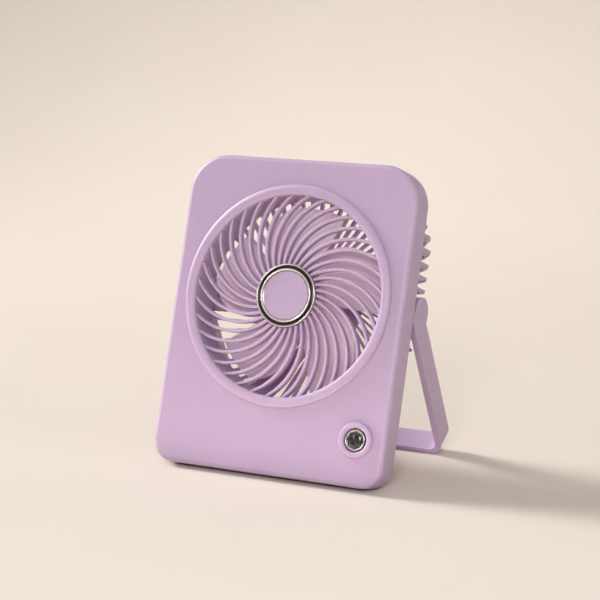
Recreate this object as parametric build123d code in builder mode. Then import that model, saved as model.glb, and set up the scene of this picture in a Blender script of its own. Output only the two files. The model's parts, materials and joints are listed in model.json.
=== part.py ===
"""Small rechargeable desk fan: an upright rounded case tilted back on a folding bail.

A ring with swept fins covers the front, a slotted cage covers the back, and a
five-blade impeller turns between them on a small can motor.  The front face leans
back; the case stands on the flat cut under its rear edge and on the bail's crossbar.
Millimetres, table at Z = 0, front towards -Y.
"""
import os
from math import acos, atan2, cos, degrees, hypot, radians, sin

from build123d import *

os.makedirs("parts", exist_ok=True)

# Case: an upright box of two shells, leaning back
case_width = 110.0
case_height = 138.5
case_depth = 13.5
case_tilt = 17.0
top_corner = 17.0
bottom_corner = 10.0
front_edge = 2.2
rear_edge = 0.8
shell_wall = 2.0
back_wall = 2.0
parting_chamfer = 0.25
lip_height = 2.5
lip_thickness = 1.4
lip_clearance = 0.15
base_start = 9.0

# Fan axis and air duct
fan_height = 78.1
duct_radius = 44.4
duct_wall = 2.0
duct_clearance = 0.1

# Front ring and its fins
ring_width = 4.6
ring_rise = 2.0
ring_land = 0.7
ring_slope_width = 3.8
ring_slope_rise = 1.3
ring_spigot = 4.0
fin_count = 36
fin_thickness = 1.3
fin_front = 0.4
fin_depth = 3.2
fin_bend = 28.5
fin_bend_x = 6.1
fin_bend_y = -27.2
fin_root = 1.1
fin_phase = 4.6
fin_chords = 5
boss_front = 0.2

# Hub trim: a bright ring around a flat cap
trim_outer = 14.1
trim_inner = 10.5
trim_overhang = 0.8
trim_rise = 1.9
trim_crown = 1.9
cap_rise = 1.1

# Rear cage: a flat-backed box, square-shouldered above and round below
cage_half_width = 51.1
cage_corner = 22.0
cage_depth = 38.5
cage_wall = 2.2
cage_shoulder = 4.0
cage_base = 4.5
cage_flange = 3.4
rib_count = 60
rib_angle = 2.2
rib_phase = 4.2
rib_start = 20.0
rib_slant = 26.0
rib_reach = 60.0
spoke_turn = 256.2
spoke_angle = 12.0

# Impeller
blade_count = 5
blade_clearance = 3.4
blade_thickness = 1.5
blade_middle = 12.0
blade_lead_reach = 23.0
blade_lead_drop = 5.2
blade_trail_reach = 14.0
blade_trail_rise = 4.0
blade_camber = 1.2
blade_half_angle = 30.0
blade_lead_angle = 68.0
blade_tip_angle = 33.0
blade_waist = 7.6
blade_waist_angle = 51.0
blade_root_angle = 76.0
hub_clearance = 1.0
hub_wall = 1.5
hub_edge = 1.0
hub_front = 5.5
hub_back = 18.0
hub_web = 9.0

# Can motor
can_radius = 12.0
can_front = 17.5
nose_radius = 3.2
nose_front = 16.0
shaft_radius = 1.0
shaft_front = 7.6
shaft_back = 33.4
shaft_clearance = 0.03
seat_wall = 2.0
seat_clearance = 0.05
seat_front = 24.0

# Bail stand
pivot_room = 10.0
stand_angle = 47.2
strip_thickness = 2.8
strip_gap = 0.55
strip_front = 9.4
strip_back = 2.2
strip_corner = 7.0
eye_radius = 7.2
heel_radius = 4.2
heel_up = 1.5
heel_front = 5.2
pin_radius = 2.0
pin_clearance = 0.05
pin_length = 7.4
pin_seat = 1.4
lug_thickness = 6.5

# Power button
button_x = 41.5
button_height = 19.9
collar_outer = 7.4
collar_inner = 5.1
collar_rise = 1.9
collar_crown = 1.3
button_radius = 4.6
button_rise = 0.6
button_flange = 6.2
button_flange_front = 2.2
button_flange_thickness = 0.9
bezel_inner = 3.7
bezel_rise = 1.3
bezel_crown = 0.5
jewel_radius = 3.65
jewel_rise = 1.6
jewel_crown_angle = 52.0
jewel_star_angle = 38.0
jewel_facets = 8

# Electronics
board_left = 17.0
board_right = 51.5
board_bottom = 6.0
board_top = 30.0
board_front = 7.0
board_thickness = 1.2
post_size = 4.0
post_inset = 3.0
switch_size = 6.0
switch_front = 3.9
plunger_radius = 1.75
plunger_clearance = 0.05
plunger_back = 4.4
plunger_room = 5.2
socket_x = 30.0
socket_height = 16.0
socket_width = 8.94
socket_thickness = 3.2
socket_skin = 0.35
socket_clearance = 0.25
socket_recess = 0.3
tongue_width = 6.7
tongue_thickness = 0.7
tongue_recess = 0.8
cell_left = -42.5
cell_length = 54.0
cell_bottom = 4.0
cell_clearance = 7.7
cell_thickness = 7.0
cell_edge = 1.5
lead_radius = 0.55
lead_pitch = 3.0
lead_overlap = 2.5

# What follows from the sizes above
parting_depth = case_depth - back_wall
ring_radius = duct_radius + ring_width
ring_slope_radius = duct_radius + ring_slope_width
boss_radius = trim_outer - trim_overhang
hub_radius = can_radius + hub_clearance + hub_wall
blade_tip = duct_radius - blade_clearance
blade_waist_radius = blade_tip - blade_waist
pivot_depth = case_depth + pivot_room
lug_inner = cage_half_width - lug_thickness
socket_back = case_depth - socket_recess
tongue_back = socket_back - tongue_recess
cell_width = fan_height - duct_radius - duct_wall - cell_clearance - cell_bottom

tilt = radians(case_tilt)
lean = radians(stand_angle - case_tilt)
lift = base_start * sin(tilt)

# Pivot of the bail, measured from the foot of the front face
pivot_back = pivot_depth * cos(tilt) + fan_height * sin(tilt)
pivot_up = fan_height * cos(tilt) - pivot_depth * sin(tilt) + lift

# The crossbar's front edge touches the table, which sets the arm length
arm_length = (pivot_up - strip_front * sin(lean)) / cos(lean)

# The frame's middle lies halfway between the front lower edge and the crossbar's back
front_reach = front_edge * (cos(tilt) + sin(tilt) - 1)
rear_reach = pivot_back + arm_length * sin(lean) + strip_back * cos(lean)
face_back = -(front_reach + rear_reach) / 2

outward = (0, -cos(tilt), sin(tilt))
upward = Vector(0, sin(tilt), cos(tilt))
face = Plane(origin=(0, face_back, lift), x_dir=(1, 0, 0), z_dir=outward)
fan = Plane(
    origin=face.origin + upward * fan_height, x_dir=(1, 0, 0), z_dir=outward
)
fan_axis = Axis(fan.origin, outward)
case_back = face.offset(-case_depth)
stand = Plane(
    origin=(0, face_back + pivot_back, pivot_up),
    x_dir=(1, 0, 0),
    z_dir=(0, cos(lean), sin(lean)),
)
strip_inner = cage_half_width + strip_gap
strip_outer = strip_inner + strip_thickness

sides = (-1, 1)
board_post_spots = [
    (board_left + post_inset, board_top - post_inset),
    (board_right - post_inset, board_top - post_inset),
]
board_back = board_front + board_thickness


def panel(sketch, inset=0.0):
    """Case outline standing on the local X axis, shrunk evenly by the inset."""
    with Locations((0, inset)):
        Rectangle(
            case_width - 2 * inset,
            case_height - 2 * inset,
            align=(Align.CENTER, Align.MIN),
        )
    fillet(sketch.vertices().group_by(Axis.Y)[-1], top_corner - inset)
    fillet(sketch.vertices().group_by(Axis.Y)[0], bottom_corner - inset)


def trim_to_table():
    """Remove whatever would reach below the table."""
    with BuildSketch(Plane.XY) as table:
        Rectangle(2 * case_width, 2 * case_height)
    extrude(table.sketch, amount=-case_height, mode=Mode.SUBTRACT)


def tube(plane, outer, inner, front, back):
    """Ring between two depths behind the plane, added to the active part."""
    with BuildSketch(plane.offset(-back)) as section:
        Circle(outer)
        if inner:
            Circle(inner, mode=Mode.SUBTRACT)
    extrude(section.sketch, amount=back - front)


def drill(plane, spots, radius, front, back):
    """Round holes between two depths behind the plane, cut from the active part."""
    with BuildSketch(plane.offset(-back)) as section:
        with Locations(*spots):
            Circle(radius)
    extrude(section.sketch, amount=back - front, mode=Mode.SUBTRACT)


def slab(plane, centre, width, height, front, back):
    """Upright block between two depths behind the plane, added to the active part."""
    with BuildSketch(plane.offset(-back)) as section:
        with Locations(centre):
            Rectangle(width, height)
    extrude(section.sketch, amount=back - front)


def crowned_ring(axis, bore, outer, base, rise, crown):
    """Ring with a sloped outside, turned about an axis that points out of the face."""
    with BuildSketch(Plane(axis.position, x_dir=(1, 0, 0), z_dir=upward)) as section:
        with BuildLine() as outline:
            Polyline(
                (bore, base),
                (outer, base),
                (bore + crown, -rise),
                (bore, -rise),
                close=True,
            )
        make_face(outline.edges())
    revolve(section.sketch, axis=axis)


def swept_arc(centre, radius, turn, swing):
    """Point on an arc that bends clockwise as it leaves the axis, swung about it."""
    x = centre[0] + radius * sin(radians(turn))
    y = centre[1] + radius * cos(radians(turn))
    return Vector(x, y).rotate(Axis.Z, swing)


def fin_turn(reach):
    """Turn along a fin's arc at which the fin is the given distance from the axis."""
    offset = hypot(fin_bend_x, fin_bend_y)
    share = (reach**2 - offset**2 - fin_bend**2) / (2 * fin_bend * offset)
    return degrees(atan2(fin_bend_x, fin_bend_y) - acos(share))


def cage_outline(inset=0.0):
    """Cage outline about the fan axis: rounded square above, half round below."""
    half = cage_half_width - inset
    shoulder = cage_half_width - cage_corner
    with BuildLine() as outline:
        Line((half, 0), (half, shoulder))
        RadiusArc((half, shoulder), (shoulder, half), -(cage_corner - inset))
        Line((shoulder, half), (-shoulder, half))
        RadiusArc((-shoulder, half), (-half, shoulder), -(cage_corner - inset))
        Line((-half, shoulder), (-half, 0))
        ThreePointArc((-half, 0), (0, -half), (half, 0))
    make_face(outline.edges())


# Front shell: panel and side walls in one moulding, open at the back
with BuildPart() as front_shell:
    with BuildSketch(face.offset(-parting_depth)) as outer:
        panel(outer)
    extrude(amount=parting_depth)
    fillet(front_shell.faces().sort_by(fan_axis)[-1].edges(), front_edge)
    chamfer(front_shell.faces().sort_by(fan_axis)[0].edges(), parting_chamfer)
    with BuildSketch(face.offset(-parting_depth)) as inner:
        panel(inner, shell_wall)
    extrude(amount=parting_depth - shell_wall, mode=Mode.SUBTRACT)
    for spot in board_post_spots:
        slab(face, spot, post_size, post_size, shell_wall, board_front)
    drill(fan, [(0, 0)], duct_radius + duct_wall + duct_clearance, -ring_rise, parting_depth)
    drill(face, [(button_x, button_height)], collar_inner, -ring_rise, shell_wall)
    trim_to_table()
front_shell.part.label = "front_shell"
export_step(front_shell.part, "parts/front_shell.step")

# Rear shell: back plate with a locating lip and the rear half of the air duct
with BuildPart() as rear_shell:
    with BuildSketch(case_back) as outer:
        panel(outer)
    extrude(amount=case_depth - parting_depth)
    chamfer(rear_shell.faces().sort_by(fan_axis)[0].edges(), rear_edge)
    with BuildSketch(face.offset(-parting_depth)) as lip:
        panel(lip, shell_wall + lip_clearance)
    extrude(amount=lip_height - lip_clearance)
    with BuildSketch(face.offset(-parting_depth)) as lip_inside:
        panel(lip_inside, shell_wall + lip_clearance + lip_thickness)
    extrude(amount=lip_height, mode=Mode.SUBTRACT)
    tube(fan, duct_radius + duct_wall, duct_radius, ring_spigot, case_depth)
    drill(fan, [(0, 0)], duct_radius, ring_spigot, case_depth)
    with BuildSketch(case_back):
        with Locations((socket_x, socket_height)):
            SlotOverall(
                socket_width + 2 * socket_clearance,
                socket_thickness + 2 * socket_clearance,
            )
    extrude(amount=case_depth - parting_depth, mode=Mode.SUBTRACT)
    trim_to_table()
rear_shell.part.label = "rear_shell"
export_step(rear_shell.part, "parts/rear_shell.step")

# Front grille: crowned ring, swept fins and the boss under the hub trim
with BuildPart() as front_grille:
    with BuildSketch(Plane(fan.origin, x_dir=(1, 0, 0), z_dir=upward)) as ring_profile:
        with BuildLine():
            Line((duct_radius, -ring_rise), (duct_radius, ring_spigot))
            Line((duct_radius, ring_spigot), (duct_radius + duct_wall, ring_spigot))
            Line((duct_radius + duct_wall, ring_spigot), (duct_radius + duct_wall, 0))
            Line((duct_radius + duct_wall, 0), (ring_radius, 0))
            Polyline(
                (ring_radius, 0),
                (ring_slope_radius, -ring_slope_rise),
                (duct_radius + ring_land, -ring_rise),
                (duct_radius, -ring_rise),
            )
        make_face()
    revolve(axis=fan_axis)
    with BuildSketch(fan.offset(-fin_front - fin_depth)):
        centre = (fin_bend_x, fin_bend_y)
        inside = fin_bend - fin_thickness / 2
        outside = fin_bend + fin_thickness / 2
        fin_start = fin_turn(boss_radius - fin_root)
        chord = (fin_turn(duct_radius + fin_root) - fin_start) / fin_chords
        turns = [fin_start + step * chord for step in range(fin_chords + 1)]
        for fin in range(fin_count):
            swing = fin_phase + fin * 360 / fin_count
            front_line = [swept_arc(centre, outside, turn, swing) for turn in turns]
            back_line = [swept_arc(centre, inside, turn, swing) for turn in reversed(turns)]
            with BuildLine():
                Polyline(*front_line, *back_line, close=True)
            make_face()
    extrude(amount=fin_depth)
    tube(fan, boss_radius, 0, boss_front, fin_front + fin_depth)
front_grille.part.label = "front_grille"
export_step(front_grille.part, "parts/front_grille.step")

# Hub trim ring and cap
with BuildPart() as hub_trim_ring:
    crowned_ring(fan_axis, trim_inner, trim_outer, boss_front, trim_rise, trim_crown)
hub_trim_ring.part.label = "hub_trim_ring"
export_step(hub_trim_ring.part, "parts/hub_trim_ring.step")

with BuildPart() as hub_cap:
    tube(fan, trim_inner, 0, -cap_rise, boss_front)
hub_cap.part.label = "hub_cap"
export_step(hub_cap.part, "parts/hub_cap.step")

# Button collar: a raised rim glued to the panel around the button's hole
button_centre = face.origin + Vector(button_x, 0, 0) + upward * button_height
button = Plane(button_centre, x_dir=(1, 0, 0), z_dir=outward)
button_axis = Axis(button_centre, outward)
with BuildPart() as button_collar:
    crowned_ring(button_axis, collar_inner, collar_outer, 0, collar_rise, collar_crown)
button_collar.part.label = "button_collar"
export_step(button_collar.part, "parts/button_collar.step")

# Push button: a bright cap with its stem and retaining flange, and a faceted jewel
flange_back = button_flange_front + button_flange_thickness
with BuildPart() as button_cap:
    crowned_ring(button_axis, bezel_inner, button_radius, -button_rise, bezel_rise, bezel_crown)
    tube(button, button_radius, 0, -button_rise, button_flange_front)
    tube(button, button_flange, 0, button_flange_front, flange_back)
button_cap.part.label = "button_cap"
export_step(button_cap.part, "parts/button_cap.step")

with BuildPart() as button_jewel:
    with BuildSketch(button.offset(button_rise)):
        RegularPolygon(jewel_radius, jewel_facets)
    crown = jewel_rise - button_rise
    extrude(amount=crown, taper=jewel_crown_angle)
    with BuildSketch(button.offset(button_rise)):
        RegularPolygon(jewel_radius, jewel_facets, rotation=180 / jewel_facets)
    extrude(amount=crown, taper=jewel_star_angle, mode=Mode.INTERSECT)
button_jewel.part.label = "button_jewel"
export_step(button_jewel.part, "parts/button_jewel.step")

# Rear cage: slotted flat-backed box with the motor seat and the bail's pivot lugs
pivot_plane = Plane(stand.origin, x_dir=upward, z_dir=(1, 0, 0))
with BuildPart() as rear_grille:
    with BuildSketch(fan.offset(-cage_depth)):
        cage_outline()
    extrude(amount=cage_depth - case_depth)
    chamfer(rear_grille.faces().sort_by(fan_axis)[0].edges(), cage_shoulder)
    with BuildSketch(fan.offset(-cage_depth + cage_wall)):
        cage_outline(cage_wall)
    extrude(amount=cage_depth - cage_wall - case_depth, mode=Mode.SUBTRACT)
    with BuildSketch(fan.offset(-cage_depth)):
        pitch = 360 / rib_count
        rib_end_x = rib_start + rib_reach * cos(radians(rib_slant))
        rib_end_y = -rib_reach * sin(radians(rib_slant))
        slot_turns = [rib_phase + (rib + 0.5) * pitch for rib in range(rib_count)]
        # One broad spoke without slots covers the motor's wires on their way down
        for turn in [turn for turn in slot_turns if abs(turn - spoke_turn) > spoke_angle / 2]:
            near = turn - (pitch - rib_angle) / 2
            far = turn + (pitch - rib_angle) / 2
            with BuildLine():
                Polyline(
                    Vector(rib_start, 0).rotate(Axis.Z, near),
                    Vector(rib_end_x, rib_end_y).rotate(Axis.Z, near),
                    Vector(rib_end_x, rib_end_y).rotate(Axis.Z, far),
                    Vector(rib_start, 0).rotate(Axis.Z, far),
                    close=True,
                )
            make_face()
    extrude(amount=cage_depth - case_depth - cage_base, mode=Mode.SUBTRACT)
    with BuildSketch(fan.offset(-case_depth)):
        cage_outline()
        Circle(duct_radius, mode=Mode.SUBTRACT)
    extrude(amount=-cage_flange)
    seat_back = cage_depth - cage_wall / 2
    seat_inner = can_radius + seat_clearance
    tube(fan, seat_inner + seat_wall, seat_inner, seat_front, seat_back)
    for side in sides:
        lug_start = min(side * lug_inner, side * cage_half_width)
        with BuildSketch(pivot_plane.offset(lug_start)):
            Circle(eye_radius)
            with Locations((0, -pivot_room / 2)):
                Rectangle(2 * eye_radius, pivot_room)
        extrude(amount=cage_half_width - lug_inner)
    with BuildSketch(pivot_plane.offset(-case_width)):
        Circle(pin_radius + pin_clearance)
    extrude(amount=2 * case_width, mode=Mode.SUBTRACT)
rear_grille.part.label = "rear_grille"
export_step(rear_grille.part, "parts/rear_grille.step")

# Impeller: one cambered blade trimmed to its outline, repeated about a cup-shaped hub
root_radius = hub_radius - hub_wall
blade_root = Plane(
    fan.offset(-blade_middle).origin + Vector(root_radius, 0, 0) * cos(radians(blade_root_angle)),
    x_dir=upward,
    z_dir=(1, 0, 0),
)
with BuildPart() as blade:
    with BuildSketch(blade_root):
        with BuildLine():
            half = blade_thickness / 2
            lead = Vector(-blade_lead_reach, -blade_lead_drop)
            trail = Vector(blade_trail_reach, blade_trail_rise)
            belly = (lead + trail) / 2 - Vector(0, blade_camber)
            skin = Vector(0, half)
            ThreePointArc(lead + skin, belly + skin, trail + skin)
            Line(trail + skin, trail - skin)
            ThreePointArc(trail - skin, belly - skin, lead - skin)
            Line(lead - skin, lead + skin)
        make_face()
    extrude(amount=blade_tip)
    with BuildSketch(fan.offset(-hub_back)):
        start = Vector(root_radius, 0).rotate(Axis.Z, -blade_half_angle)
        tip = Vector(blade_tip, 0).rotate(Axis.Z, -blade_half_angle)
        tip_middle = Vector(blade_tip, 0).rotate(Axis.Z, blade_tip_angle / 2 - blade_half_angle)
        corner = Vector(blade_tip, 0).rotate(Axis.Z, blade_tip_angle - blade_half_angle)
        waist = Vector(blade_waist_radius, 0).rotate(
            Axis.Z, blade_waist_angle - blade_half_angle
        )
        root = Vector(root_radius, 0).rotate(Axis.Z, blade_root_angle - blade_half_angle)
        with BuildLine():
            Line(start, tip)
            ThreePointArc(tip, tip_middle, corner)
            ThreePointArc(corner, waist, root)
            Line(root, start)
        make_face()
    extrude(amount=hub_back - hub_front, mode=Mode.INTERSECT)

with BuildPart() as impeller:
    tube(fan, hub_radius, 0, hub_front, hub_back)
    chamfer(impeller.edges().group_by(fan_axis)[-1], hub_edge)
    turn = blade_lead_angle + blade_half_angle
    for number in range(blade_count):
        add(blade.part.rotate(fan_axis, turn + number * 360 / blade_count))
    drill(fan, [(0, 0)], root_radius, hub_front + hub_web, hub_back)
    drill(fan, [(0, 0)], shaft_radius, shaft_front, hub_back)
impeller.part.label = "impeller"
export_step(impeller.part, "parts/impeller.step")

# Can motor: sealed can with a bearing nose, and its shaft
bore = shaft_radius + shaft_clearance
with BuildPart() as motor_can:
    tube(fan, can_radius, 0, can_front, cage_depth - cage_wall)
    tube(fan, nose_radius, 0, nose_front, can_front)
    drill(fan, [(0, 0)], bore, nose_front, shaft_back + shaft_clearance)
motor_can.part.label = "motor_can"
export_step(motor_can.part, "parts/motor_can.step")

with BuildPart() as motor_shaft:
    tube(fan, shaft_radius, 0, shaft_front, shaft_back)
motor_shaft.part.label = "motor_shaft"
export_step(motor_shaft.part, "parts/motor_shaft.step")

# Bail stand: a flat strip bent to a U, with round eyes at the arm ends
arm_side = Plane(
    origin=stand.origin, x_dir=(0, sin(lean), -cos(lean)), z_dir=(1, 0, 0)
)
with BuildPart() as stand_bail:
    with BuildSketch(stand.offset(-strip_front)) as strip:
        Rectangle(2 * strip_outer, arm_length, align=(Align.CENTER, Align.MIN))
        Rectangle(
            2 * strip_inner,
            arm_length - strip_thickness,
            align=(Align.CENTER, Align.MIN),
            mode=Mode.SUBTRACT,
        )
        fillet(strip.vertices().group_by(Axis.Y)[-1], strip_corner)
        fillet(
            strip.vertices().filter_by_position(
                Axis.Y,
                arm_length - 1.5 * strip_thickness,
                arm_length - strip_thickness / 2,
            ),
            strip_corner - strip_thickness,
        )
    extrude(amount=strip_front + strip_back)
    for side in sides:
        arm_start = min(side * strip_inner, side * strip_outer)
        with BuildSketch(arm_side.offset(arm_start)):
            Circle(eye_radius)
            with Locations((-heel_up, -heel_front)):
                Circle(heel_radius)
            make_hull()
        extrude(amount=strip_thickness)
    seat_start = strip_inner + pin_seat
    with BuildSketch(arm_side.offset(-seat_start)):
        Circle(pin_radius)
    extrude(amount=2 * seat_start, mode=Mode.SUBTRACT)
stand_bail.part.label = "stand_bail"
export_step(stand_bail.part, "parts/stand_bail.step")

with BuildPart() as stand_pins:
    for side in sides:
        pin_start = min(side * seat_start, side * (seat_start - pin_length))
        with BuildSketch(arm_side.offset(pin_start)):
            Circle(pin_radius)
        extrude(amount=pin_length)
stand_pins.part.label = "stand_pins"
export_step(stand_pins.part, "parts/stand_pins.step")

# Control board with the button's switch and the charging socket
board_centre = ((board_left + board_right) / 2, (board_bottom + board_top) / 2)
with BuildPart() as control_board:
    slab(
        face,
        board_centre,
        board_right - board_left,
        board_top - board_bottom,
        board_front,
        board_back,
    )
control_board.part.label = "control_board"
export_step(control_board.part, "parts/control_board.step")

with BuildPart() as button_switch:
    slab(button, (0, 0), switch_size, switch_size, switch_front, board_front)
    drill(button, [(0, 0)], plunger_radius + plunger_clearance, switch_front, plunger_room)
button_switch.part.label = "button_switch"
export_step(button_switch.part, "parts/button_switch.step")

with BuildPart() as switch_plunger:
    tube(button, plunger_radius, 0, flange_back, plunger_back)
switch_plunger.part.label = "switch_plunger"
export_step(switch_plunger.part, "parts/switch_plunger.step")

socket = Plane(
    face.origin + Vector(socket_x, 0, 0) + upward * socket_height,
    x_dir=(1, 0, 0),
    z_dir=outward,
)
with BuildPart() as usb_socket:
    with BuildSketch(socket.offset(-socket_back)):
        SlotOverall(socket_width, socket_thickness)
    extrude(amount=socket_back - board_back)
    with BuildSketch(socket.offset(-socket_back)):
        SlotOverall(socket_width - 2 * socket_skin, socket_thickness - 2 * socket_skin)
    extrude(amount=socket_back - board_back - board_thickness, mode=Mode.SUBTRACT)
usb_socket.part.label = "usb_socket"
export_step(usb_socket.part, "parts/usb_socket.step")

with BuildPart() as usb_tongue:
    tongue_front = board_back + board_thickness
    slab(socket, (0, 0), tongue_width, tongue_thickness, tongue_front, tongue_back)
usb_tongue.part.label = "usb_tongue"
export_step(usb_tongue.part, "parts/usb_tongue.step")

# Pouch cell lying against the panel below the duct, and its two leads
cell_centre = (cell_left + cell_length / 2, cell_bottom + cell_width / 2)
with BuildPart() as battery_cell:
    cell_back = shell_wall + cell_thickness
    slab(face, cell_centre, cell_length, cell_width, shell_wall, cell_back)
    fillet(battery_cell.edges().filter_by(Axis.X), cell_edge)
battery_cell.part.label = "battery_cell"
export_step(battery_cell.part, "parts/battery_cell.step")

lead_plane = Plane(
    face.offset(-board_front + lead_radius).origin
    + Vector(cell_left + cell_length, 0, 0)
    + upward * cell_centre[1],
    x_dir=upward,
    z_dir=(1, 0, 0),
)
with BuildPart() as battery_leads:
    with BuildSketch(lead_plane):
        with GridLocations(lead_pitch, 0, 2, 1):
            Circle(lead_radius)
    extrude(amount=board_left + lead_overlap - cell_left - cell_length)
battery_leads.part.label = "battery_leads"
export_step(battery_leads.part, "parts/battery_leads.step")
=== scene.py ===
import json
from math import atan2, cos, pi, radians, sin

import bmesh
import bpy
from mathutils import Matrix, Vector


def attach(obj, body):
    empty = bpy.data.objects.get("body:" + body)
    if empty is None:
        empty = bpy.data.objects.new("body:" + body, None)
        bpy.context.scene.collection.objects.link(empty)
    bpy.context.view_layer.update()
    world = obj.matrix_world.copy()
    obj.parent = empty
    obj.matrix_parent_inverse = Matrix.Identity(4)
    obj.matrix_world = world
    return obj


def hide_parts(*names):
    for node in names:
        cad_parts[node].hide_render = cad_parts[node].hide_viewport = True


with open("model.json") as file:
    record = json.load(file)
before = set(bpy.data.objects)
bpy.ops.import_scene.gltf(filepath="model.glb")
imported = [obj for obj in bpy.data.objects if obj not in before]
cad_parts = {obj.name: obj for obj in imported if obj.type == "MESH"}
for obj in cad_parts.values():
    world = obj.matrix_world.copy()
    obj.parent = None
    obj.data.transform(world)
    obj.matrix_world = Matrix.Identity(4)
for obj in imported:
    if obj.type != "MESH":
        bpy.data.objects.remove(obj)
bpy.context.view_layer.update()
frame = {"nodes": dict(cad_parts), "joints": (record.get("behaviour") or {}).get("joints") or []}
nodes = frame["nodes"]
joints = {joint["name"]: joint for joint in frame["joints"]}


# Front shell: the leaning front panel with its side walls, one lilac moulding.
# Injection-moulded ABS with a fine spark-eroded texture, all outer edges rounded.
def linear(code):
    """sRGB hex colour as the linear colour that a shader socket takes."""
    parts = [int(code[i:i + 2], 16) / 255 for i in (1, 3, 5)]
    return [p / 12.92 if p <= 0.04045 else ((p + 0.055) / 1.055) ** 2.4 for p in parts] + [1.0]


def add_node(owner, kind, settings=None, values=None, links=None):
    """A shader node with its settings, its socket values and the outputs linked to it."""
    tree = owner.node_tree
    node = tree.nodes.new(kind)
    for name, value in (settings or {}).items():
        setattr(node, name, value)
    for name, value in (values or {}).items():
        node.inputs[name].default_value = value
    for name, output in (links or {}).items():
        tree.links.new(output, node.inputs[name])
    return node


def new_material(name):
    """A material with an empty node tree."""
    material = bpy.data.materials.new(name)
    material.use_nodes = True
    material.node_tree.nodes.clear()
    return material


def moulded_abs(name, colour, deeper, rough, milky, milky_depth):
    """Satin ABS from a spark-eroded mould: an even colour, a faint cloud where the melt
    cooled unevenly, and a fine grain that breaks up the gloss."""
    cloud_size = 22.0
    # The real grain is about 0.1 mm; it is drawn coarser so that it shows
    grain_size = 0.45
    material = new_material(name)
    place = add_node(material, "ShaderNodeTexCoord")
    cloud = add_node(material, "ShaderNodeTexNoise", {}, {
        "Scale": 1000 / cloud_size, "Detail": 3.0, "Roughness": 0.55,
    }, {"Vector": place.outputs["Object"]})
    grain = add_node(material, "ShaderNodeTexNoise", {}, {
        "Scale": 1000 / grain_size, "Detail": 2.0, "Roughness": 0.6,
    }, {"Vector": place.outputs["Object"]})
    tone = add_node(material, "ShaderNodeMix", {"data_type": "RGBA"}, {
        6: linear(colour), 7: linear(deeper),
    }, {0: cloud.outputs["Fac"]})
    gloss = add_node(material, "ShaderNodeMapRange", {}, {
        "From Min": 0.3, "From Max": 0.7, "To Min": rough - 0.05, "To Max": rough + 0.06,
    }, {"Value": grain.outputs["Fac"]})
    bump = add_node(material, "ShaderNodeBump", {}, {
        "Strength": 0.12, "Distance": 0.00004,
    }, {"Height": grain.outputs["Fac"]})
    shader = add_node(material, "ShaderNodeBsdfPrincipled", {}, {
        "IOR": 1.53, "Subsurface Weight": milky, "Subsurface Radius": (1.0, 0.7, 0.95),
        "Subsurface Scale": milky_depth / 1000,
    }, {
        "Base Color": tone.outputs[2],
        "Roughness": gloss.outputs["Result"],
        "Normal": bump.outputs["Normal"],
    })
    add_node(material, "ShaderNodeOutputMaterial", {}, {}, {"Surface": shader.outputs["BSDF"]})
    return material


def finish_piece(bm, name, body, material, stands_for, sharp=32.0):
    """The mesh as a piece at the origin that rides on a body in a CAD node's place."""
    mesh = bpy.data.meshes.new(name)
    bm.to_mesh(mesh)
    bm.free()
    mesh.shade_smooth()
    mesh.set_sharp_from_angle(angle=radians(sharp))
    piece = bpy.data.objects.new(name, mesh)
    bpy.context.scene.collection.objects.link(piece)
    piece.data.materials.append(material)
    even = piece.modifiers.new("even_shading", "WEIGHTED_NORMAL")
    even.keep_sharp = True
    even.weight = 100
    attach(piece, body)
    if stands_for:
        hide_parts(stands_for)


def merged_copy(node):
    """A CAD node's shape with its triangles joined and its flat faces made whole."""
    same_point = 2e-6
    flat_angle = radians(0.6)
    bm = bmesh.new()
    bm.from_mesh(nodes[node].data)
    bmesh.ops.remove_doubles(bm, verts=bm.verts, dist=same_point)
    bmesh.ops.dissolve_limit(
        bm, angle_limit=flat_angle, use_dissolve_boundaries=False,
        verts=bm.verts, edges=bm.edges, delimit=set(),
    )
    return bm


# Lilac ABS, a little milky: soft shading with a rosy tint where light passes thin walls
lilac = moulded_abs("lilac_abs", "#BFA7C3", "#BBA2BF", rough=0.42, milky=0.4, milky_depth=3.0)
finish_piece(
    merged_copy("front_shell"), "front_shell_moulding", "case", lilac, "front_shell",
)


# Rear shell: back plate with the air duct and the charging slot.
# Same ABS as the front; the two meet in a fine groove around the side.
finish_piece(
    merged_copy("rear_shell"), "rear_shell_moulding", "case", lilac, "rear_shell",
)


# Front grille: a raised ring, swept fins and the boss behind the hub trim, one moulding.
# The fins are thin upright walls with rounded front edges, each bent along one arc.
mm = 0.001
tilt = radians(17.0)
fan_centre = Vector(joints["impeller_spin"]["pos_m"])
lean_back = Matrix.Rotation(pi / 2 - tilt, 4, "X")
fan_seat = Matrix.Translation(fan_centre) @ lean_back


def turned(corners, steps):
    """A turned shape from its half section: (radius, height, corner round) in mm."""
    bm = bmesh.new()
    verts = [bm.verts.new((radius * mm, 0, height * mm)) for radius, height, soft in corners]
    bm.faces.new(verts)
    for vert, (radius, height, soft) in zip(verts, corners):
        if soft:
            bmesh.ops.bevel(
                bm, geom=[vert], offset=soft * mm, offset_type="OFFSET", affect="VERTICES",
                segments=6, profile=0.5, material=-1,
            )
    bmesh.ops.delete(bm, geom=bm.faces[:], context="FACES_ONLY")
    core = [e for e in bm.edges if max(v.co.x for v in e.verts) < 1e-8]
    bmesh.ops.delete(bm, geom=core, context="EDGES")
    bmesh.ops.spin(
        bm, geom=bm.verts[:] + bm.edges[:], cent=(0, 0, 0), axis=(0, 0, 1), dvec=(0, 0, 0),
        angle=2 * pi, steps=steps, use_merge=True,
    )
    bmesh.ops.remove_doubles(bm, verts=bm.verts, dist=1e-7)
    bmesh.ops.recalc_face_normals(bm, faces=bm.faces)
    return bm


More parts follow.
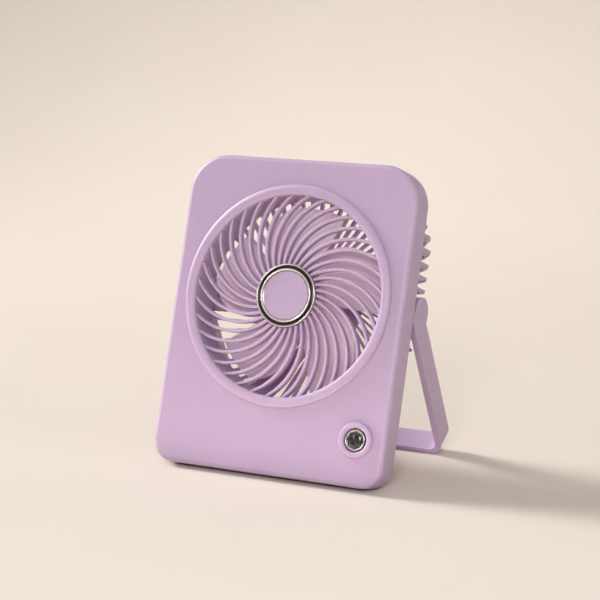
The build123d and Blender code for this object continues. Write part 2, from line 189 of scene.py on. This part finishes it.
def join_into(whole, piece):
    """Adds a finished shape to a larger one."""
    carrier = bpy.data.meshes.new("carrier")
    piece.to_mesh(carrier)
    piece.free()
    whole.from_mesh(carrier)
    bpy.data.meshes.remove(carrier)


fin_count = 36
fin_bend = 28.5
fin_bend_x = 6.1
fin_bend_y = -27.2
fin_from = 11.0
fin_to = 94.0
fin_steps = 22
fin_phase = 4.6
fin_thickness = 1.3
fin_front = -0.4
fin_back = -3.6
fin_edge_round = 0.5
grille = turned([
    (44.4, -4.0, 0), (46.4, -4.0, 0), (46.4, 0.0, 0), (49.0, 0.0, 0),
    (48.9, 0.9, 0.5), (48.0, 1.8, 0.9), (46.4, 2.0, 0.9), (45.0, 1.6, 0.8), (44.4, 0.6, 0.5),
], steps=144)
boss = turned([(0, -3.6, 0), (13.3, -3.6, 0), (13.3, -0.2, 0), (0, -0.2, 0)], steps=96)
fin = bmesh.new()
section = [
    fin.verts.new(((fin_bend + side * fin_thickness / 2) * mm, 0, depth * mm))
    for side, depth in ((-1, fin_back), (1, fin_back), (1, fin_front), (-1, fin_front))
]
fin.faces.new(section)
for corner in section[2:]:
    bmesh.ops.bevel(
        fin, geom=[corner], offset=fin_edge_round * mm, offset_type="OFFSET",
        affect="VERTICES", segments=3, profile=0.5, material=-1,
    )
turn_start = Matrix.Rotation(radians(90 - fin_from), 4, "Z")
bmesh.ops.transform(fin, matrix=turn_start, verts=fin.verts)
bmesh.ops.spin(
    fin, geom=fin.verts[:] + fin.edges[:] + fin.faces[:], cent=(0, 0, 0), axis=(0, 0, 1),
    dvec=(0, 0, 0), angle=-radians(fin_to - fin_from), steps=fin_steps,
)
bmesh.ops.translate(fin, vec=(fin_bend_x * mm, fin_bend_y * mm, 0), verts=fin.verts)
bmesh.ops.recalc_face_normals(fin, faces=fin.faces)
fin_mesh = bpy.data.meshes.new("fin")
fin.to_mesh(fin_mesh)
fin.free()
for number in range(fin_count):
    turn = fin_phase if number == 0 else 360 / fin_count
    fin_mesh.transform(Matrix.Rotation(radians(turn), 4, "Z"))
    grille.from_mesh(fin_mesh)
bpy.data.meshes.remove(fin_mesh)
join_into(grille, boss)
bmesh.ops.transform(grille, matrix=fan_seat, verts=grille.verts)
finish_piece(grille, "front_grille_moulding", "case", lilac, "front_grille")


# Hub trim: a bright plated ring pressed around a flat lilac cap, with a band between painted
# nearly black as a painted dark reflection.
# Electroplated ABS, polished, so it mirrors the room in narrow bands.
def plated_abs(name, colour, rough):
    """Bright chrome plating over plastic: mirror gloss with a slight orange peel."""
    peel_size = 2.5
    material = new_material(name)
    place = add_node(material, "ShaderNodeTexCoord")
    peel = add_node(material, "ShaderNodeTexNoise", {}, {
        "Scale": 1000 / peel_size, "Detail": 2.0,
    }, {"Vector": place.outputs["Object"]})
    gloss = add_node(material, "ShaderNodeMapRange", {}, {
        "From Min": 0.3, "From Max": 0.7, "To Min": rough - 0.02, "To Max": rough + 0.03,
    }, {"Value": peel.outputs["Fac"]})
    bump = add_node(material, "ShaderNodeBump", {}, {
        "Strength": 0.02, "Distance": 0.00005,
    }, {"Height": peel.outputs["Fac"]})
    shader = add_node(material, "ShaderNodeBsdfPrincipled", {}, {
        "Base Color": linear(colour), "Metallic": 1.0,
    }, {"Roughness": gloss.outputs["Result"], "Normal": bump.outputs["Normal"]})
    add_node(material, "ShaderNodeOutputMaterial", {}, {}, {"Surface": shader.outputs["BSDF"]})
    return material


# Satin chrome: pale and slightly warm, with soft bright lines along each bend
chrome = plated_abs("plated_abs", "#C6BEBC", rough=0.24)
trim = turned([
    (10.5, -0.2, 0), (14.1, -0.2, 0), (14.1, 0.9, 0.35), (13.65, 1.6, 0.3), (13.15, 1.1, 0.15),
    (13.15, 0.4, 0), (11.9, 0.4, 0), (11.9, 1.3, 0.1), (11.5, 1.75, 0.25), (11.0, 1.3, 0.15),
    (11.0, 0.3, 0), (10.5, 0.3, 0),
], steps=128)
bmesh.ops.transform(trim, matrix=fan_seat, verts=trim.verts)
finish_piece(trim, "hub_trim_plated", "case", chrome, "hub_trim_ring", sharp=40.0)

# Plated band painted nearly black, a painted dark reflection standing in for what the real
# chrome mirrors there, so the bright lines stand out beside it
painted_dark_band_chrome = plated_abs("plated_abs_painted_dark", "#3B3532", rough=0.2)
band = turned([
    (11.9, 0.4, 0), (13.15, 0.4, 0), (13.15, 0.9, 0.05), (12.5, 1.3, 0.5), (11.9, 0.9, 0.05),
], steps=128)
bmesh.ops.transform(band, matrix=fan_seat, verts=band.verts)
finish_piece(band, "hub_trim_band", "case", painted_dark_band_chrome, None, sharp=40.0)

cap = turned([(0, -0.2, 0), (10.5, -0.2, 0), (10.5, 1.1, 0.3), (0, 1.1, 0)], steps=128)
bmesh.ops.transform(cap, matrix=fan_seat, verts=cap.verts)
finish_piece(cap, "hub_cap_disc", "case", lilac, "hub_cap")


# Power button: a lilac rim on the panel, a bright plated cap in it, and a cut jewel.
# The cap presses in by half a millimetre; its stem and flange are behind the panel.
button_right = 41.5
button_below_fan = 58.2
button_offset = Vector((button_right * mm, -button_below_fan * mm, 0))
button_seat = Matrix.Translation(fan_centre + lean_back @ button_offset) @ lean_back
collar = turned([
    (5.1, 0.0, 0), (7.8, 0.0, 0), (7.8, 1.0, 0.7), (7.2, 1.8, 0.6), (6.2, 1.9, 0.6),
    (5.4, 1.5, 0.5), (5.1, 0.8, 0.3),
], steps=96)
bmesh.ops.transform(collar, matrix=button_seat, verts=collar.verts)
finish_piece(collar, "button_rim", "case", lilac, "button_collar", sharp=50.0)

button = turned([
    (0, -3.1, 0), (6.2, -3.1, 0), (6.2, -2.2, 0), (4.6, -2.2, 0), (4.6, 0.95, 0.25),
    (4.3, 1.35, 0.2), (4.0, 1.2, 0.1), (3.9, 0.6, 0), (0, 0.6, 0),
], steps=96)
bmesh.ops.transform(button, matrix=button_seat, verts=button.verts)
finish_piece(button, "button_plated", "button", chrome, "button_cap", sharp=40.0)

# Smoked acrylic with polished cuts: dark, with single facets painted lighter as painted
# highlights
cut_acrylic = new_material("cut_acrylic")
painted_glint_mask = add_node(cut_acrylic, "ShaderNodeAttribute", {"attribute_name": "facet"})
painted_glint_colour = add_node(cut_acrylic, "ShaderNodeMix", {"data_type": "RGBA"}, {
    6: linear("#0A0908"), 7: linear("#6B625A"),
}, {0: painted_glint_mask.outputs["Fac"]})
facet_gloss = add_node(cut_acrylic, "ShaderNodeMapRange", {}, {
    "To Min": 0.04, "To Max": 0.1,
}, {"Value": painted_glint_mask.outputs["Fac"]})
facet_shader = add_node(cut_acrylic, "ShaderNodeBsdfPrincipled", {}, {"IOR": 1.49}, {
    "Base Color": painted_glint_colour.outputs[2], "Roughness": facet_gloss.outputs["Result"],
})
add_node(cut_acrylic, "ShaderNodeOutputMaterial", {}, {}, {
    "Surface": facet_shader.outputs["BSDF"],
})
jewel_girdle = 3.85
jewel_table = 2.4
jewel_foot = 0.6
jewel_height = 0.7
jewel_peak = 0.3
crown_peak = 0.12
# Painted highlights: how far each facet is painted towards the light tone, standing in for
# glints
painted_glint_levels = (0.0, 0.2, 0.05, 0.8, 0.0, 0.1, 0.35)
facet_stride = 5
jewel = bmesh.new()
bmesh.ops.create_cone(
    jewel, cap_ends=True, cap_tris=False, segments=8, radius1=jewel_girdle * mm,
    radius2=jewel_table * mm, depth=jewel_height * mm,
    matrix=Matrix.Translation((0, 0, (jewel_foot + jewel_height / 2) * mm)),
)
jewel_top = (jewel_foot + jewel_height) * mm
table_face = [f for f in jewel.faces if f.calc_center_median().z > jewel_top - 0.01 * mm]
bmesh.ops.poke(jewel, faces=table_face, offset=jewel_peak * mm)
crown = [f for f in jewel.faces if len(f.verts) == 4]
bmesh.ops.poke(jewel, faces=crown, offset=crown_peak * mm)
facet = jewel.faces.layers.float.new("facet")
for number, face in enumerate(jewel.faces):
    face[facet] = painted_glint_levels[number * facet_stride % len(painted_glint_levels)]
bmesh.ops.transform(jewel, matrix=button_seat, verts=jewel.verts)
finish_piece(jewel, "button_jewel_cut", "button", cut_acrylic, "button_jewel", sharp=2.0)


# Impeller: five cambered blades on a cup-shaped hub, pressed on the motor shaft.
# One thin moulding, a little glossier than the case.
# The blades are painted much paler than the case as painted light, so they look as bright
# between the fins as the lit panel; the milky depth also lets some light through them
blade_abs = moulded_abs(
    "blade_abs_painted_light", "#FFE3F3", "#FBDCEE", rough=0.4, milky=0.3, milky_depth=10.0,
)
finish_piece(
    merged_copy("impeller"), "impeller_moulding", "rotor", blade_abs, "impeller",
)


# Rear cage: slotted flat-backed guard with the motor seat and the stand's pivot lugs.
# One moulding in the case's ABS, rounded at the shoulder, with ribs that thin towards it.
cage_half = 51.1 * mm
cage_corner = 22.0 * mm
cage_back = -38.5 * mm
cage_foot = -18.0 * mm
shoulder = 8.0 * mm
rib_pitch = radians(6.0)
rib_phase = radians(4.2)
rib_slant = radians(26.0)
rib_half = radians(1.25)
rib_start = 20.0 * mm
rib_taper = 0.4
taper_rise = 12.0 * mm
taper_reach = 18.0 * mm
hub_seat = 24.0 * mm
long_edge = 6.0 * mm
edge_cuts = 16
cage = merged_copy("rear_grille")
bmesh.ops.transform(cage, matrix=fan_seat.inverted(), verts=cage.verts)
long_edges = [
    e for e in cage.edges
    if e.calc_length() > long_edge and min(v.co.z for v in e.verts) < cage_back + shoulder
]
bmesh.ops.subdivide_edges(cage, edges=long_edges, cuts=edge_cuts)
bmesh.ops.triangulate(cage, faces=cage.faces[:], quad_method="BEAUTY", ngon_method="BEAUTY")
for vert in cage.verts:
    spread = vert.co.xy.length
    if spread < hub_seat or vert.co.z > cage_foot:
        continue
    # How far the outline reaches this way: square with round corners above, round below
    along, across = sorted((abs(vert.co.x) / spread, abs(vert.co.y) / spread), reverse=True)
    middle = cage_half - cage_corner
    reach = cage_half / along
    if vert.co.y < 0:
        reach = cage_half
    elif reach * across > middle:
        slant = middle * (along + across)
        reach = slant + (slant ** 2 - 2 * middle ** 2 + cage_corner ** 2) ** 0.5
    # The ribs thin towards the shoulder, each about its own slanted middle line
    run = (spread ** 2 - (rib_start * sin(rib_slant)) ** 2) ** 0.5 - rib_start * cos(rib_slant)
    lag = atan2(run * sin(rib_slant), rib_start + run * cos(rib_slant))
    turn = atan2(vert.co.y, vert.co.x) + lag - rib_phase
    off_rib = (turn + rib_pitch / 2) % rib_pitch - rib_pitch / 2
    if abs(off_rib) < rib_half:
        risen = min(1, (cage_foot - vert.co.z) / taper_rise)
        outer = min(1, max(0, 1 - (reach - spread) / taper_reach))
        vert.co.xy = Matrix.Rotation(-rib_taper * risen * outer * off_rib, 2) @ vert.co.xy
    # The shoulder is rounded where the sides turn into the flat back
    inward = shoulder - (reach - spread)
    backward = shoulder - (vert.co.z - cage_back)
    if inward > 0 and backward > 0:
        shrink = max(inward, backward) / (inward ** 2 + backward ** 2) ** 0.5
        vert.co.xy *= (reach - shoulder + inward * shrink) / spread
        vert.co.z = cage_back + shoulder - backward * shrink
bmesh.ops.transform(cage, matrix=fan_seat, verts=cage.verts)
finish_piece(cage, "rear_cage_moulding", "case", lilac, "rear_grille")


# Stand: a flat strip bent to a U, turning on two steel pins in the cage's lugs.
# Moulded in the case's ABS with softly rounded edges.
bail_round = 0.7
bail_turn = radians(30.0)
bail = merged_copy("stand_bail")
bail_edges = [
    e for e in bail.edges if len(e.link_faces) == 2 and e.calc_face_angle() > bail_turn
]
bmesh.ops.bevel(
    bail, geom=bail_edges, offset=bail_round * mm, offset_type="OFFSET", affect="EDGES",
    segments=4, profile=0.5, material=-1, clamp_overlap=True,
)
finish_piece(bail, "stand_bail_moulding", "stand", lilac, "stand_bail")


# Inside pieces: motor can, shaft, pins, charging socket, board, switch, cell and leads.
# They show only through the slots and at the socket, in plain drawn steel and mouldings.
def plain_finish(name, colour, deeper, metallic, rough, speck):
    """A drawn, moulded or coated inside part: two near tones in specks of the given mm,
    drawn coarser than the real texture so that they show."""
    material = new_material(name)
    place = add_node(material, "ShaderNodeTexCoord")
    fleck = add_node(material, "ShaderNodeTexNoise", {}, {
        "Scale": 1000 / speck, "Detail": 3.0,
    }, {"Vector": place.outputs["Object"]})
    tone = add_node(material, "ShaderNodeMix", {"data_type": "RGBA"}, {
        6: linear(colour), 7: linear(deeper),
    }, {0: fleck.outputs["Fac"]})
    gloss = add_node(material, "ShaderNodeMapRange", {}, {
        "To Min": rough - 0.06, "To Max": rough + 0.08,
    }, {"Value": fleck.outputs["Fac"]})
    shader = add_node(material, "ShaderNodeBsdfPrincipled", {}, {"Metallic": metallic}, {
        "Base Color": tone.outputs[2], "Roughness": gloss.outputs["Result"],
    })
    add_node(material, "ShaderNodeOutputMaterial", {}, {}, {"Surface": shader.outputs["BSDF"]})
    return material


# Deep-drawn steel: a grey sheen that is slightly uneven from the press
drawn_steel = plain_finish("drawn_steel", "#B4B1AE", "#9A9693", 1.0, 0.3, 1.5)
# Moulded nylon: dull black with hardly any shine
black_nylon = plain_finish("black_nylon", "#1C1A1C", "#262327", 0.0, 0.55, 0.8)
# Solder mask: green lacquer with a satin shine over the copper
solder_mask = plain_finish("solder_mask", "#1F5A36", "#184A2C", 0.0, 0.4, 3.0)
# Laminated pouch foil: half metallic, a soft silver-grey
pouch_foil = plain_finish("pouch_foil", "#B9BABD", "#A9AAAE", 0.6, 0.4, 4.0)
# Extruded lead sleeve: plain deep red, softly shining
lead_sleeve = plain_finish("lead_sleeve", "#8E1F1F", "#7A1919", 0.0, 0.5, 1.0)
for node, material in {
    "motor_can": drawn_steel, "motor_shaft": drawn_steel, "stand_pins": drawn_steel,
    "usb_socket": drawn_steel, "usb_tongue": black_nylon, "button_switch": black_nylon,
    "switch_plunger": black_nylon, "control_board": solder_mask, "battery_cell": pouch_foil,
    "battery_leads": lead_sleeve,
}.items():
    nodes[node].material_slots[0].material = material


# Case screws: four pan-head self-tapping screws pull the two shells together from the back.
# Zinc-plated steel with a pressed cross recess, each in a low moulded well.
screw_places = [(side * 46.5, up) for side in (-1, 1) for up in (50.5, -69.0)]
back_plate = -13.5
head_top = 0.75
recess_reach = 1.25
recess_half = 0.32
recess_depth = 0.5
# Bright zinc: a pale grey metal, a little mottled by the plating
zinc_plate = plain_finish("zinc_plated_steel", "#C3C1BB", "#ABA9A4", 1.0, 0.32, 0.9)
wells = bmesh.new()
screws = bmesh.new()
for across, up in screw_places:
    place = Matrix.Translation((across * mm, up * mm, back_plate * mm))
    seat = fan_seat @ place @ Matrix.Rotation(pi, 4, "X")
    well = turned([
        (2.5, -0.3, 0), (3.6, -0.3, 0), (3.6, 0.5, 0.3), (3.1, 0.9, 0.3), (2.5, 0.9, 0.15),
    ], steps=48)
    head = turned([
        (0, -0.3, 0), (2.2, -0.3, 0), (2.2, 0.35, 0.3), (1.6, head_top, 0.3), (0, head_top, 0),
    ], steps=32)
    top_level = (head_top - 0.01) * mm
    flat_top = [f for f in head.faces if f.calc_center_median().z > top_level]
    bmesh.ops.dissolve_faces(head, faces=flat_top, use_verts=True)
    for along in (Vector((1, 0, 0)), Vector((0, 1, 0))):
        for reach in (-recess_reach, -recess_half, recess_half, recess_reach):
            bmesh.ops.bisect_plane(
                head, geom=head.verts[:] + head.edges[:] + head.faces[:], dist=1e-7,
                plane_co=along * reach * mm, plane_no=along,
            )
    cross = []
    for face in head.faces:
        middle = face.calc_center_median()
        near, far = sorted((abs(middle.x), abs(middle.y)))
        if middle.z > top_level and near < recess_half * mm and far < recess_reach * mm:
            cross.append(face)
    pressed = bmesh.ops.extrude_face_region(head, geom=cross)["geom"]
    recess_floor = [g for g in pressed if isinstance(g, bmesh.types.BMVert)]
    bmesh.ops.translate(head, vec=(0, 0, -recess_depth * mm), verts=recess_floor)
    for made, whole in ((well, wells), (head, screws)):
        bmesh.ops.transform(made, matrix=seat, verts=made.verts)
        join_into(whole, made)
finish_piece(wells, "screw_wells", "case", lilac, None)
finish_piece(screws, "case_screws", "case", zinc_plate, None)


# Table and wall: one pale cream sweep that takes the fan's soft shadow.
# Emulsion-painted board, matt and without gloss, with a faint cloud from the roller.
roller_patch = 111.0
paint = new_material("cream_emulsion")
paint_place = add_node(paint, "ShaderNodeTexCoord")
paint_cloud = add_node(paint, "ShaderNodeTexNoise", {}, {
    "Scale": 1000 / roller_patch, "Detail": 2.0,
}, {"Vector": paint_place.outputs["Object"]})
paint_tone = add_node(paint, "ShaderNodeMix", {"data_type": "RGBA"}, {
    6: linear("#E4DACF"), 7: linear("#E0D5CA"),
}, {0: paint_cloud.outputs["Fac"]})
paint_shader = add_node(paint, "ShaderNodeBsdfPrincipled", {}, {
    "Roughness": 0.6, "Specular IOR Level": 0.0,
}, {"Base Color": paint_tone.outputs[2]})
add_node(paint, "ShaderNodeOutputMaterial", {}, {}, {"Surface": paint_shader.outputs["BSDF"]})
board_half_width = 1.65
board_front = -1.35
board_back = 0.9
wall_height = 3.0
sweep_round = 0.35
sweep = bmesh.new()
bmesh.ops.create_grid(sweep, x_segments=1, y_segments=1, size=1.0)
board_half_depth = (board_back - board_front) / 2
bmesh.ops.scale(sweep, vec=(board_half_width, board_half_depth, 1.0), verts=sweep.verts)
board_middle = (board_back + board_front) / 2
bmesh.ops.translate(sweep, vec=(0, board_middle, 0), verts=sweep.verts)
far_edge = [e for e in sweep.edges if min(v.co.y for v in e.verts) > board_middle]
raised = bmesh.ops.extrude_edge_only(sweep, edges=far_edge)["geom"]
wall_top = [g for g in raised if isinstance(g, bmesh.types.BMVert)]
bmesh.ops.translate(sweep, vec=(0, 0, wall_height), verts=wall_top)
crease = [e for e in sweep.edges if len(e.link_faces) == 2]
bmesh.ops.bevel(
    sweep, geom=crease, offset=sweep_round, offset_type="OFFSET", affect="EDGES",
    segments=16, profile=0.5, material=-1,
)
bmesh.ops.recalc_face_normals(sweep, faces=sweep.faces)
sweep_mesh = bpy.data.meshes.new("cream_sweep")
sweep.to_mesh(sweep_mesh)
sweep.free()
sweep_mesh.shade_smooth()
table = bpy.data.objects.new("cream_sweep", sweep_mesh)
table.data.materials.append(paint)
bpy.context.scene.collection.objects.link(table)


# Light: a large gridded window light at the left, weaker fills, a wash on the wall.
# The ceiling and the glow off the table keep the shaded sides open, as a pale room does.
def lamp(name, size, power, colour, spot, aim, beam=180.0):
    """A rectangular lamp aimed at a point; a grid narrows its beam to the given degrees."""
    light = bpy.data.lights.new(name, "AREA")
    light.shape = "RECTANGLE"
    light.size, light.size_y = size
    light.energy = power
    light.spread = radians(beam)
    light.color = linear(colour)[:3]
    holder = bpy.data.objects.new(name, light)
    holder.location = spot
    holder.rotation_euler = (Vector(aim) - Vector(spot)).to_track_quat("-Z", "Y").to_euler()
    holder.visible_camera = False
    bpy.context.scene.collection.objects.link(holder)


fan_middle = (0, 0, 0.07)
lamp("window", (0.82, 1.42), 12.2, "#FFFFFF", (-2.6, 0.0, 1.5), fan_middle, beam=60.0)
lamp("wall_wash", (0.3, 0.3), 0.75, "#FFFFFF", (-0.3, 0.3, 2.2), (-0.3, 0.8, 0.1), beam=42.0)
lamp("front_fill", (0.35, 0.35), 6.2, "#FFFFFF", (0.36, -1.03, 0.58), fan_middle)
lamp("ceiling", (6.0, 5.0), 43.0, "#FFFFFF", (0.0, -1.2, 2.9), (0.0, -1.2, 0.0))
lamp("right_fill", (0.5, 0.5), 1.8, "#FFFFFF", (1.3, -0.1, 0.55), fan_middle)
lamp("table_glow", (0.22, 0.08), 0.085, "#FFEFE6", (-0.02, -0.095, 0.004), (-0.02, -0.095, 1.0))

# The room itself gives little light, but is pale where it is seen or mirrored
room_light = 0.06
room_seen = 0.7
world = bpy.data.worlds.new("pale_room")
world.use_nodes = True
sky = world.node_tree.nodes["Background"]
sky.inputs["Color"].default_value = linear("#FCFAFA")
seen = add_node(world, "ShaderNodeLightPath")
mirrored = add_node(world, "ShaderNodeMath", {"operation": "ADD"}, {}, {
    0: seen.outputs["Is Glossy Ray"], 1: seen.outputs["Is Transmission Ray"],
})
pale = add_node(world, "ShaderNodeMath", {"operation": "ADD", "use_clamp": True}, {}, {
    0: seen.outputs["Is Camera Ray"], 1: mirrored.outputs["Value"],
})
level = add_node(world, "ShaderNodeMapRange", {}, {
    "To Min": room_light, "To Max": room_seen,
}, {"Value": pale.outputs["Value"]})
world.node_tree.links.new(level.outputs["Result"], sky.inputs["Strength"])
bpy.context.scene.world = world


# Camera: slightly above and to the right of the fan, with a long lens.
# Its place and turn are solved from the panel's perspective.
camera = bpy.data.cameras.new("camera")
camera.sensor_width = 36.0
camera.lens = 111.39
viewer = bpy.data.objects.new("camera", camera)
viewer.matrix_world = Matrix((
    (0.90247, -0.09039, 0.42117, 0.34487),
    (0.43056, 0.15942, -0.88838, -0.73382),
    (0.01316, 0.98307, 0.18279, 0.22280),
    (0.0, 0.0, 0.0, 1.0),
))
bpy.context.scene.collection.objects.link(viewer)
bpy.context.scene.camera = viewer
bpy.context.scene.view_settings.view_transform = "Standard"
